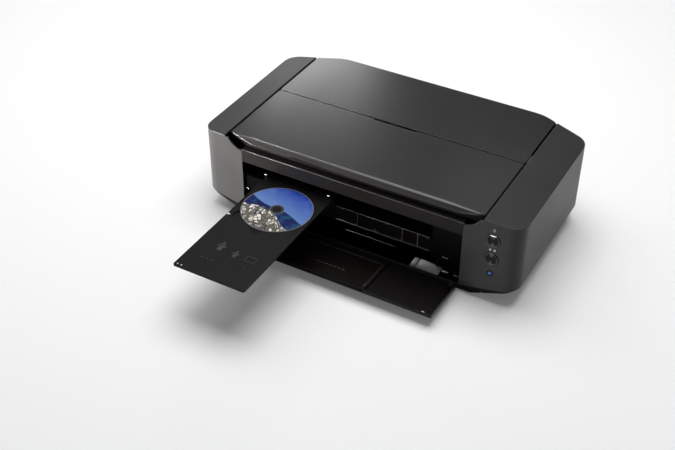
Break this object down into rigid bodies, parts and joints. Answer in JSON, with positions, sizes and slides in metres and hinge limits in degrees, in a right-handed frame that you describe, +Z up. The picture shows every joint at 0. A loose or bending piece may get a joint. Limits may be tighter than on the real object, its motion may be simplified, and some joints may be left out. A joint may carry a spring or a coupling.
{
  "type": "disc label printer",
  "caption": "Wide desktop inkjet printer with its front cover open and a flat disc tray in the slot; lids, tray, carriage, rollers and buttons move.",
  "frame": {"origin": "on the surface the printer stands on, under the centre of the whole object's box with the disc tray in its loading position", "axes": "+X to the printer's right as seen from the front, +Y to its rear, +Z up"},
  "size_m": [0.59, 0.598, 0.159],
  "materials": {
    "casing": "satin black moulded plastic",
    "top_panel": "fine-grained satin black plastic",
    "inner_plastic": "dark moulded plastic",
    "bar_plastic": "semi-gloss black plastic",
    "tray_plastic": "black moulded plastic",
    "disc_print": "printed disc face",
    "button_gloss": "turned gloss black button",
    "light_white": "lit white light bar",
    "lamp_blue": "lit blue lamp lens",
    "steel_sheet": "zinc-plated sheet steel",
    "steel_bar": "ground steel bar",
    "grey_plastic": "grey moulded plastic",
    "white_plastic": "natural acetal",
    "roller_rubber": "rubber roller",
    "belt_rubber": "toothed rubber belt",
    "foot_rubber": "soft rubber foot",
    "ink_black": "ink tank, black",
    "ink_grey": "ink tank, grey",
    "ink_cyan": "ink tank, cyan",
    "ink_magenta": "ink tank, magenta",
    "ink_yellow": "ink tank, yellow",
    "board_green": "circuit board",
    "supply_case": "coated steel case",
    "felt_pad": "absorbent felt"
  },
  "bodies": {
    "casing": {"left_side_cover": "casing", "right_side_cover": "casing", "left_top_panel": "top_panel", "right_top_panel": "top_panel", "base_case": "inner_plastic", "rear_panel": "casing", "fascia_bar": "bar_plastic", "upper_frame": "inner_plastic", "output_bay": "inner_plastic", "disc_guide": "inner_plastic", "chassis_left_plate": "steel_sheet", "chassis_right_plate": "steel_sheet", "chassis_beam": "steel_sheet", "front_rail": "steel_sheet", "guide_rod": "steel_bar", "carriage_belt": "belt_rubber", "carriage_motor": "steel_sheet", "pinch_holder": "inner_plastic", "star_wheel_holder": "inner_plastic", "sheet_ledge": "inner_plastic", "platen": "inner_plastic", "feed_ramp": "inner_plastic", "maintenance_unit": "grey_plastic", "waste_ink_pad": "felt_pad", "rubber_feet": "foot_rubber", "hinge_pins": "steel_bar", "logic_board": "board_green", "data_port": "steel_sheet", "power_supply": "supply_case", "power_inlet": "inner_plastic", "status_lamp": "lamp_blue", "panel_board": "board_green"},
    "top_cover": {"top_cover": "top_panel"},
    "paper_support": {"paper_support": "top_panel"},
    "paper_support_extension": {"paper_support_extension": "inner_plastic"},
    "front_cover": {"front_cover": "bar_plastic"},
    "output_extension": {"output_extension": "inner_plastic"},
    "disc_tray": {"disc_tray": "tray_plastic", "disc": "disc_print"},
    "power_button": {"power_button": "button_gloss", "power_light": "light_white"},
    "resume_button": {"resume_button": "button_gloss"},
    "carriage": {"carriage": "grey_plastic", "print_head": "inner_plastic", "ink_tank_1": "ink_black", "ink_tank_2": "ink_grey", "ink_tank_3": "ink_black", "ink_tank_4": "ink_yellow", "ink_tank_5": "ink_magenta", "ink_tank_6": "ink_cyan"},
    "drive_pulley": {"drive_pulley": "white_plastic"},
    "idler_pulley": {"idler_pulley": "white_plastic"},
    "feed_roller": {"feed_roller": "grey_plastic"},
    "idler_gear": {"idler_gear": "white_plastic"},
    "eject_roller": {"eject_roller": "roller_rubber"},
    "pinch_rollers": {"pinch_rollers": "grey_plastic"},
    "star_wheels": {"star_wheels": "grey_plastic"},
    "pickup_roller": {"pickup_roller": "roller_rubber"},
    "paper_guide_left": {"paper_guide_left": "grey_plastic"},
    "paper_guide_right": {"paper_guide_right": "grey_plastic"}
  },
  "joints": [
    {"name": "top_cover_hinge", "type": "hinge", "parent": "casing", "child": "top_cover", "pos_m": [0, 0.1405, 0.1552], "axis": [-1, 0, 0], "range_deg": [0, 65]},
    {"name": "paper_support_hinge", "type": "hinge", "parent": "casing", "child": "paper_support", "pos_m": [0, 0.293, 0.1525], "axis": [-1, 0, 0], "range_deg": [0, 100]},
    {"name": "paper_support_extension_slide", "type": "slide", "parent": "paper_support", "child": "paper_support_extension", "axis": [0, -1, 0], "range_m": [0, 0.085]},
    {"name": "front_cover_hinge", "type": "hinge", "parent": "casing", "child": "front_cover", "pos_m": [0, -0.029, 0.012], "axis": [-1, 0, 0], "range_deg": [0, 45]},
    {"name": "output_extension_slide", "type": "slide", "parent": "front_cover", "child": "output_extension", "axis": [0, -0.9962, 0.0872], "range_m": [0, 0.07]},
    {"name": "disc_tray_slide", "type": "slide", "parent": "casing", "child": "disc_tray", "axis": [0, 1, 0], "range_m": [0, 0.21]},
    {"name": "power_button_press", "type": "slide", "parent": "casing", "child": "power_button", "axis": [0, 1, 0], "range_m": [0, 0.0015], "stiffness_N_per_m": 800},
    {"name": "resume_button_press", "type": "slide", "parent": "casing", "child": "resume_button", "axis": [0, 1, 0], "range_m": [0, 0.0015], "stiffness_N_per_m": 800},
    {"name": "carriage_slide", "type": "slide", "parent": "casing", "child": "carriage", "axis": [-1, 0, 0], "range_m": [0, 0.366]},
    {"name": "drive_pulley_spin", "type": "hinge", "parent": "casing", "child": "drive_pulley", "pos_m": [0.218, 0.1515, 0.139], "axis": [0, 1, 0], "range_deg": [-10, 3200]},
    {"name": "idler_pulley_spin", "type": "hinge", "parent": "casing", "child": "idler_pulley", "pos_m": [-0.226, 0.1515, 0.139], "axis": [0, 1, 0], "range_deg": [-10, 3200]},
    {"name": "feed_roller_spin", "type": "hinge", "parent": "casing", "child": "feed_roller", "pos_m": [0, 0.133, 0.0887], "axis": [1, 0, 0], "continuous": true},
    {"name": "idler_gear_spin", "type": "hinge", "parent": "casing", "child": "idler_gear", "pos_m": [0, 0.06898, 0.0887], "axis": [1, 0, 0], "continuous": true},
    {"name": "eject_roller_spin", "type": "hinge", "parent": "casing", "child": "eject_roller", "pos_m": [0, 0.013, 0.0907], "axis": [1, 0, 0], "continuous": true},
    {"name": "pinch_rollers_spin", "type": "hinge", "parent": "casing", "child": "pinch_rollers", "pos_m": [0, 0.133, 0.1044], "axis": [1, 0, 0], "continuous": true},
    {"name": "star_wheels_spin", "type": "hinge", "parent": "casing", "child": "star_wheels", "pos_m": [0, 0.013, 0.1054], "axis": [1, 0, 0], "continuous": true},
    {"name": "pickup_roller_spin", "type": "hinge", "parent": "casing", "child": "pickup_roller", "pos_m": [0, 0.20876, 0.12094], "axis": [1, 0, 0], "continuous": true},
    {"name": "paper_guide_left_slide", "type": "slide", "parent": "casing", "child": "paper_guide_left", "axis": [1, 0, 0], "range_m": [-0.06, 0.054]},
    {"name": "paper_guide_right_slide", "type": "slide", "parent": "casing", "child": "paper_guide_right", "axis": [1, 0, 0], "range_m": [-0.054, 0.06]}
  ],
  "couplings": [
    {"joint": "drive_pulley_spin", "follows": "carriage_slide", "rad_per_m": 151.52},
    {"joint": "idler_pulley_spin", "follows": "carriage_slide", "rad_per_m": 151.52},
    {"joint": "idler_gear_spin", "follows": "feed_roller_spin", "ratio": -1},
    {"joint": "eject_roller_spin", "follows": "feed_roller_spin", "ratio": 1.3333},
    {"joint": "pinch_rollers_spin", "follows": "feed_roller_spin", "ratio": -2},
    {"joint": "star_wheels_spin", "follows": "feed_roller_spin", "ratio": -1.6},
    {"joint": "paper_guide_right_slide", "follows": "paper_guide_left_slide", "ratio": -1}
  ]
}
